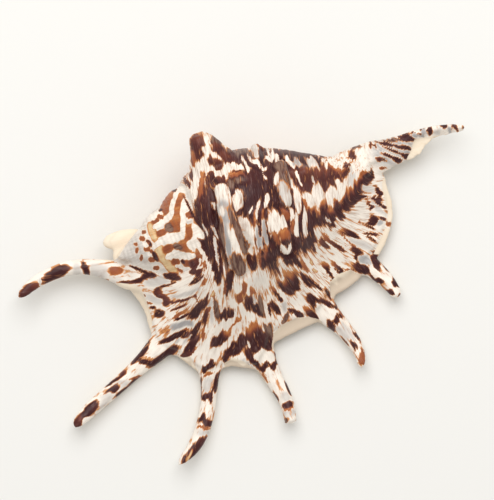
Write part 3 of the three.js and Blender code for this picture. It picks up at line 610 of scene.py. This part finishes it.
class Surface:
    """The shell's surface with what the relief and the markings need to know about each point."""

    def __init__(self, mesh, flow):
        self.points = read_vectors(mesh.vertices, "co") / MM
        self.normals = read_vectors(mesh.vertex_normals, "vector")
        self.place = on_sheet(self.points)
        self.covered = covered_from_above(mesh, self.points)
        self.across, self.along = flow.at(self.place)
        self.spire = soft_step(inside(self.place, SPIRE), -0.5, 0.5)
        self.rim = inside(self.place, COLOURED_BACK) * UNIT
        self.upward = self.normals[:, 2]
        self.drawn_place = self.place + flow.headings(self.place) * self.streaks()[:, None]
        self.axial, self.lateral = (self.points[:, :2] - APEX).T
        self.across = np.where(self.spire > 0.5, SPIRE_OFFSET + self.lateral, self.across)
        self.along = np.where(self.spire > 0.5, self.axial, self.along)
        # On the far flank, below the axis, the flow runs on round the whorl
        height = self.points[:, 2] - AXIS_HEIGHT
        below = np.minimum(np.arctan2(height, np.maximum(self.lateral, 1e-3)), 0)
        self.along = self.along + WHORL_RADIUS * below * soft_step(self.lateral, -2, 6)

    def noise(self, layer):
        """Smooth noise from -0.5 to 0.5 over the flow."""
        return flow_noise(self.across, self.along, layer) - 0.5

    def streaks(self):
        """How far the ends of the markings are drawn out along the growth, in units."""
        streaks = self.noise(STREAKS) + 0.6 * self.noise(BROAD_STREAKS)
        clear = np.ones(len(self.points))
        for path, halves, _, _ in SWELLS:
            clear *= soft_step(distance_share(self.place, path, halves), 0.7, 1.5)
        return STREAK_LENGTH * streaks * (1 - 0.85 * self.spire) * (0.2 + 0.8 * clear)

    def hollow(self):
        """Share of the pale glaze at each point: the underside, and what lies under the lip."""
        hollow = soft_step(-self.upward, 0.25, 0.6) * soft_step(-self.lateral, -12, -6)
        return np.maximum(hollow, self.covered * soft_step(-self.lateral, -2, 2))

    def mouth(self):
        """Share of the peach tone at each point."""
        axial = (self.axial - MOUTH_MIDDLE[0]) / MOUTH_REACH[0]
        lateral = (self.lateral - MOUTH_MIDDLE[1]) / MOUTH_REACH[1]
        return soft_step(-self.upward, 0.3, 0.8) * np.exp(-axial**2 - lateral**2)


def knobs_and_furrows(place):
    """Height in millimetres of the knobs of the back over the furrows round them."""
    height = np.zeros(len(place))
    for path, halves, rise, furrow in SWELLS:
        share = distance_share(place, path, halves)
        height += rise * np.clip(1 - share**2, 0, 1) ** CREST_ROUNDNESS
        height -= furrow * np.exp(-((share - FURROW_PLACE) / FURROW_WIDTH) ** 2)
    for path, half, depth in FURROWS:
        height -= depth * np.exp(-distance_share(place, path, [half] * len(path)) ** 2)
    return height


def raise_relief(surface, form):
    """Points lifted by growth ridges, cords of the spire, knobs and furrows, kept over the floor."""
    ridges = surface.noise(RIDGES) + 0.8 * surface.noise(FINE_RIDGES)
    back = soft_step(surface.upward, -0.3, 0.2) * soft_step(surface.rim, 0, 1.5)
    cords = np.cos(surface.axial * 2 * math.pi / CORD_STEP)
    lift = form.growth_relief * ridges * back * (1 - surface.spire)
    lift = lift + form.cord_relief * cords * surface.spire * back
    lift = lift + knobs_and_furrows(surface.place) * MM * soft_step(surface.upward, 0.05, 0.35)
    raised = surface.points * MM + surface.normals * lift[:, None]
    raised[:, 2] = np.maximum(raised[:, 2], 0)
    return raised


def lay_marks(surface, flow, marks, paint, pigment_spread=1.0):
    """Lay each mark over the paint: pigment, warmth and coolness of each point."""
    for (pigment, warm_start, warm_end, cool), x0, y0, x1, y1, width in marks:
        start, end = np.array([x0, y0], float), np.array([x1, y1], float)
        centre = (start + end) / 2
        length = np.linalg.norm(end - start)
        ahead = (end - start) / length
        width = width * (pigment_spread if pigment > 0 else 1.0)
        half_length = length / 2 + MARK_OVERRUN * width
        away = np.abs(surface.drawn_place - centre).max(axis=1)
        near = away < SEARCH_REACH * (half_length + width)
        offset = surface.drawn_place[near] - centre
        run = offset @ ahead / half_length
        side = crossed(offset, ahead) / (width / 2)
        reach = (np.abs(run) ** MARK_ROUNDNESS + np.abs(side) ** MARK_ROUNDNESS) ** (1 / MARK_ROUNDNESS)
        cover = soft_step(-reach, -MARK_BEGINS, -MARK_COVERS)
        growth = flow.headings([centre])[0]
        spread = math.hypot(half_length * (ahead @ growth), width / 2 * crossed(ahead, growth))
        progress = soft_step(offset @ growth / spread, FIRST_WARMTH, LAST_WARMTH)
        warmth = warm_start + (warm_end - warm_start) * progress
        for column, value in enumerate((pigment, warmth, cool)):
            if column != 1 or pigment > 0:
                paint[near, column] += cover * (value - paint[near, column])
    return paint


def painted(surface, flow):
    """Paint of each point: pigment, warmth, coolness. Marks above, free bands below."""
    across = surface.across
    along = surface.along + 3.0 * flow_noise(across, surface.along, WAVES)
    bands = flow_noise(across, along, BANDS, offset=9)
    blots = flow_noise(across, along, BLOTS)
    free = 3.2 * (0.6 * bands + 0.4 * blots - 0.5)
    banded = np.column_stack((np.clip(free, -1, 1), 0.2 + 0.6 * blots, 0.5 * bands))
    marked = np.column_stack((
        BARE_GROUND - BARE_SPIRE * surface.spire,
        np.full(len(across), BARE_WARMTH),
        0.18 * blots + 0.22 * surface.spire))
    for marks, spread in MARK_SETS:
        marked = lay_marks(surface, flow, marks, marked, spread)
    shaded = lay_marks(surface, flow, RIM_MARKS, marked.copy())
    marked = np.where(surface.rim[:, None] < 0, shaded, marked)
    top = soft_step(surface.upward, -0.1, 0.15)[:, None]
    return banded * (1 - top) + marked * top


def store(mesh, name, columns):
    layer = mesh.attributes.new(name, "FLOAT_VECTOR", "POINT")
    layer.data.foreach_set("vector", np.column_stack(columns).astype(np.float32).ravel())


def feed(tree, slot, value):
    """Link a value or a socket to a slot, or set the slot to a number or colour."""
    if isinstance(value, Value):
        value = value.socket
    if isinstance(value, bpy.types.NodeSocket):
        tree.links.new(value, slot)
    else:
        slot.default_value = value


class Value:
    """A shader value that is written with Python operators."""

    def __init__(self, tree, socket):
        self.tree, self.socket = tree, socket

    def maths(self, operation, *values, clamp=False):
        node = self.tree.nodes.new("ShaderNodeMath")
        node.operation = operation
        node.use_clamp = clamp
        for slot, value in zip(node.inputs, values):
            feed(self.tree, slot, value)
        return Value(self.tree, node.outputs[0])

    def __add__(self, other):
        return self.maths("ADD", self, other)

    def __sub__(self, other):
        return self.maths("SUBTRACT", self, other)

    def __rsub__(self, other):
        return self.maths("SUBTRACT", other, self)

    def __mul__(self, other):
        return self.maths("MULTIPLY", self, other)

    __radd__ = __add__

    def limited(self):
        """The value kept between 0 and 1."""
        return self.maths("ADD", self, 0.0, clamp=True)

    def step(self, low, high):
        """0 below low, 1 above high, smooth between."""
        node = self.tree.nodes.new("ShaderNodeMapRange")
        node.interpolation_type = "SMOOTHSTEP"
        for slot, value in (("Value", self), ("From Min", low), ("From Max", high)):
            feed(self.tree, node.inputs[slot], value)
        return Value(self.tree, node.outputs["Result"])


class Shader:
    """Node tree of one material."""

    def __init__(self, name):
        self.material = bpy.data.materials.new(name)
        self.material.use_nodes = True
        self.tree = self.material.node_tree
        self.surface = self.tree.nodes["Principled BSDF"]

    def node(self, kind, settings, values):
        made = self.tree.nodes.new(kind)
        for name, value in settings.items():
            setattr(made, name, value)
        return self.fill(made, values)

    def fill(self, node, values):
        """Feed the inputs of a node, given by name or number."""
        for slot, value in values.items():
            feed(self.tree, node.inputs[slot], value)
        return node

    def channels(self, name):
        """The three numbers stored under a name on each point."""
        source = self.node("ShaderNodeAttribute", {"attribute_name": name}, {})
        split = self.node("ShaderNodeSeparateXYZ", {}, {"Vector": source.outputs["Vector"]})
        return [Value(self.tree, socket) for socket in split.outputs]

    def vector(self, x, y, z):
        return self.node("ShaderNodeCombineXYZ", {}, {"X": x, "Y": y, "Z": z}).outputs[0]

    def noise(self, across, along, grain):
        """Noise drawn out along the flow."""
        per_across, per_along, offset, detail, roughness = grain
        made = self.node("ShaderNodeTexNoise", {}, {
            "Vector": self.vector(across * per_across, along * per_along, offset),
            "Scale": 1.0, "Detail": detail, "Roughness": roughness})
        return Value(self.tree, made.outputs["Fac"])

    def mix(self, share, low, high):
        made = self.node("ShaderNodeMix", {"data_type": "RGBA"}, {0: share, 6: low, 7: high})
        return made.outputs[2]

    def ramp(self, value, stops):
        made = self.node("ShaderNodeValToRGB", {}, {"Fac": value})
        elements = made.color_ramp.elements
        while len(elements) < len(stops):
            elements.new(0.5)
        for element, (place, colour) in zip(elements, stops):
            element.position = place
            element.color = (*colour, 1)
        return made.outputs["Color"]


# Colours of the pigment from cold to warm
PIGMENT = [
    (0.0, (0.046, 0.012, 0.013)), (0.25, (0.085, 0.023, 0.020)), (0.48, (0.190, 0.050, 0.028)),
    (0.66, (0.380, 0.110, 0.036)), (0.84, (0.580, 0.235, 0.075)), (1.0, (0.770, 0.560, 0.310)),
]
# Grain of the glaze: lumps per millimetre across and along the flow, offset, detail, roughness
HAIR = (1.25, 0.16, 0.0, 3.0, 0.6)
TEETH = (0.6, 0.13, 4.0, 2.0, 0.5)
FINE = (3.6, 0.25, 8.0, 2.0, 0.6)
CLOUD = (0.3, 0.2, 2.0, 2.0, 0.5)
# How far each grain frays the edge of the pigment
FRAY_HAIR = 3.4
FRAY_TEETH = 1.2
FRAY_FINE = 2.4
# Growth lines in the ground, fine and broad
FINE_LINE = (0.50, 0.38, 0.31, 1)
BROAD_LINE = (0.50, 0.36, 0.28, 1)
# Dark and pale hairs in the pigment, the pale ones painted glints of light on the growth lines, and the two
# tones of its olive kind
DARK_HAIR = (0.17, 0.10, 0.09, 1)
PALE_HAIR_GLINT = (0.34, 0.23, 0.21, 1)
OLIVE_DARK = (0.10, 0.045, 0.035, 1)
OLIVE_PALE = (0.27, 0.17, 0.12, 1)
# Rust at the edge of cold and of warm pigment
FRINGE_COLD = (0.48, 0.19, 0.075, 1)
FRINGE_WARM = (0.66, 0.28, 0.09, 1)
# Lightest tone of the pale glaze, and the painted shade of the rim where it is thin and curves down
PALE_LIGHT = (0.90, 0.81, 0.68, 1)
THIN_RIM_SHADE = (0.64, 0.52, 0.40, 1)


def shell_glaze(look):
    """Glazed shell: ragged pigment bands along the growth, orange at their rims, over a pale ground."""
    shader = Shader("patterned_glaze")
    across, along, spire = shader.channels("growth")
    pigment, warmth, coolness = shader.channels("paint")
    rim, hollow, mouth = shader.channels("place")

    hair = shader.noise(across, along, HAIR)
    teeth = shader.noise(across, along, TEETH)
    fine = shader.noise(across, along, FINE)
    cloud = shader.noise(across, along, CLOUD)
    ragged = (hair - 0.5) * FRAY_HAIR + (teeth - 0.5) * FRAY_TEETH + (fine - 0.5) * FRAY_FINE
    canal = across.step(72.0, 80.0) * (1.0 - spire)
    level = pigment + ragged * (1.0 - spire * 0.8 - canal * 0.6)

    cool = (coolness * (0.45 + hair * 1.2) + (cloud - 0.5) * 0.4).limited()
    ground = shader.mix(cool, look.ground, look.cool_ground)
    worn = 1.0 - (along.step(22.0, 38.0) + across.step(62.0, 72.0)).limited() * 0.65
    ground = shader.mix(fine.step(0.42, 0.70) * worn * 0.55, ground, FINE_LINE)
    ground = shader.mix(hair.step(0.44, 0.70) * worn * 0.80, ground, BROAD_LINE)

    tone = (warmth + (hair - 0.5) * 0.35 + (cloud - 0.5) * 0.2).limited()
    colour = shader.ramp(tone, PIGMENT)
    colour = shader.mix(hair.step(0.56, 0.72) * 0.4, colour, DARK_HAIR)
    olive = shader.mix(hair.step(0.42, 0.58), OLIVE_DARK, OLIVE_PALE)
    colour = shader.mix((coolness * 0.9).limited(), colour, olive)
    # painted glints: pale streaks along the growth lines lighten the dark pigment
    colour = shader.mix(fine.step(0.55, 0.80) * 0.35, colour, PALE_HAIR_GLINT)
    fringe = shader.mix(warmth.step(0.0, 0.7), FRINGE_COLD, FRINGE_WARM)
    marked = shader.mix(level.step(-0.42, 0.04), ground, fringe)
    marked = shader.mix(level.step(0.0, 0.62), marked, colour)

    pale = shader.mix((cloud - 0.2).limited(), look.glaze, PALE_LIGHT)
    # painted shade: the thin rim between the fingers darkened where the shade marks are laid
    pale = shader.mix(coolness.step(0.3, 1.0) * 0.8, pale, THIN_RIM_SHADE)
    pale = shader.mix(mouth, pale, look.mouth)
    coloured = (rim + (hair - 0.5) * 0.7).step(-0.15, 0.2)
    shown = shader.mix(coloured, pale, marked)
    shown = shader.mix(hollow, shown, pale)

    relief = fine * 0.35 + hair * 0.65
    bump = shader.node("ShaderNodeBump", {}, {
        "Strength": 0.5, "Distance": 0.0005, "Height": relief * (1.0 - hollow * 0.9)})
    shader.fill(shader.surface, {
        "Base Color": shown, "Roughness": (fine - 0.5) * 0.16 + look.roughness,
        "IOR": 1.5, "Specular IOR Level": 0.14, "Coat Weight": 0.05, "Coat Roughness": 0.22,
        "Normal": bump.outputs["Normal"]})
    return shader.material


class SHELL_OT_grow(bpy.types.Operator):
    """Grow the shell over its solid, with relief and markings"""
    bl_idname = "shell.grow"
    bl_label = "Grow shell"

    def execute(self, context):
        form = context.scene.shell_form
        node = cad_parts["shell"]
        piece = grown_copy(node, form.grain)
        mesh = piece.data
        points = read_vectors(mesh.vertices, "co")
        write_points(mesh, smoothed(mesh, points, form.smoothing))
        flow = Flow()
        surface = Surface(mesh, flow)
        write_points(mesh, raise_relief(surface, form))
        store(mesh, "growth", (surface.across, surface.along, surface.spire))
        store(mesh, "paint", painted(surface, flow).T)
        store(mesh, "place", (surface.rim, surface.hollow(), surface.mouth()))
        mesh.materials.append(shell_glaze(context.scene.shell_glaze))
        select_only(piece)
        bpy.ops.object.shade_smooth()
        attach(piece, "root")
        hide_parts("shell")
        return {"FINISHED"}


# Side of the floor, and place and width of the soft light, in metres
FLOOR_SIZE = 6
LIGHT_PLACE = (0.15, 0.5, 0.95)
LIGHT_WIDTH = 1.0
# Height of the shell on which the camera's scale is set, in millimetres
SCALE_HEIGHT = 15
SKY_COLOUR = (1.0, 0.99, 0.97, 1)


def stage_floor(setting):
    bpy.ops.mesh.primitive_plane_add(size=FLOOR_SIZE, location=(0, 0, 0))
    floor = bpy.context.object
    floor.name = "floor"
    shader = Shader("pale_floor")
    shader.fill(shader.surface, {"Base Color": setting.floor, "Roughness": 0.9})
    floor.data.materials.append(shader.material)


def stage_light(setting):
    """Soft round light that points at the shell."""
    data = bpy.data.lights.new("soft_light", "AREA")
    data.shape = "DISK"
    data.size = LIGHT_WIDTH
    data.energy = setting.key
    lamp = add_object("soft_light", data)
    lamp.location = LIGHT_PLACE
    lamp.rotation_mode = "QUATERNION"
    lamp.rotation_quaternion = (-Vector(LIGHT_PLACE)).to_track_quat("-Z", "Y")


def stage_camera(setting):
    """Camera straight above, turned as the marking sheet is turned."""
    data = bpy.data.cameras.new("camera")
    data.sensor_fit = "HORIZONTAL"
    data.sensor_width = 36
    data.lens = data.sensor_width * setting.view_height / (SHEET[0] * UNIT * MM)
    camera = add_object("camera", data)
    right = (SHEET[0] / 2 - APEX_ON_SHEET[0]) * UNIT
    up = (APEX_ON_SHEET[1] - SHEET[1] / 2) * UNIT
    x = APEX[0] + right * math.cos(TURN) + up * math.sin(TURN)
    y = APEX[1] - right * math.sin(TURN) + up * math.cos(TURN)
    camera.location = (x * MM, y * MM, setting.view_height + SCALE_HEIGHT * MM)
    camera.rotation_euler = (0, 0, -TURN)
    bpy.context.scene.camera = camera


class SHELL_OT_stage(bpy.types.Operator):
    """Set the pale floor, the soft light and the camera"""
    bl_idname = "shell.stage"
    bl_label = "Set stage"

    def execute(self, context):
        setting = context.scene.shell_stage
        bpy.ops.object.select_all(action="DESELECT")
        stage_floor(setting)
        stage_light(setting)
        stage_camera(setting)
        world = bpy.data.worlds.new("soft_sky")
        world.use_nodes = True
        sky = world.node_tree.nodes["Background"]
        sky.inputs["Color"].default_value = SKY_COLOUR
        sky.inputs["Strength"].default_value = setting.sky
        context.scene.world = world
        context.scene.view_settings.view_transform = "Standard"
        return {"FINISHED"}


class SHELL_PT_panel(bpy.types.Panel):
    """Sizes, colours and steps of the shell"""
    bl_label = "Spider Conch Shell"
    bl_idname = "SHELL_PT_panel"
    bl_space_type = "VIEW_3D"
    bl_region_type = "UI"
    bl_category = "Shell"

    def draw(self, context):
        for group in GROUPS:
            for name in GROUPS[group].__annotations__:
                self.layout.prop(getattr(context.scene, group), name)
        self.layout.operator("shell.grow")
        self.layout.operator("shell.stage")


GROUPS = {"shell_form": ShellForm, "shell_glaze": ShellGlaze, "shell_stage": StageSetting}
CLASSES = (*GROUPS.values(), SHELL_OT_grow, SHELL_OT_stage, SHELL_PT_panel)


def register():
    for kind in CLASSES:
        bpy.utils.register_class(kind)
    for name, group in GROUPS.items():
        setattr(bpy.types.Scene, name, PointerProperty(type=group))


def unregister():
    for name in GROUPS:
        delattr(bpy.types.Scene, name)
    for kind in reversed(CLASSES):
        bpy.utils.unregister_class(kind)


def main():
    register()
    bpy.ops.object.select_all(action="DESELECT")
    bpy.ops.shell.grow()
    bpy.ops.shell.stage()


if __name__ == "__main__":
    main()
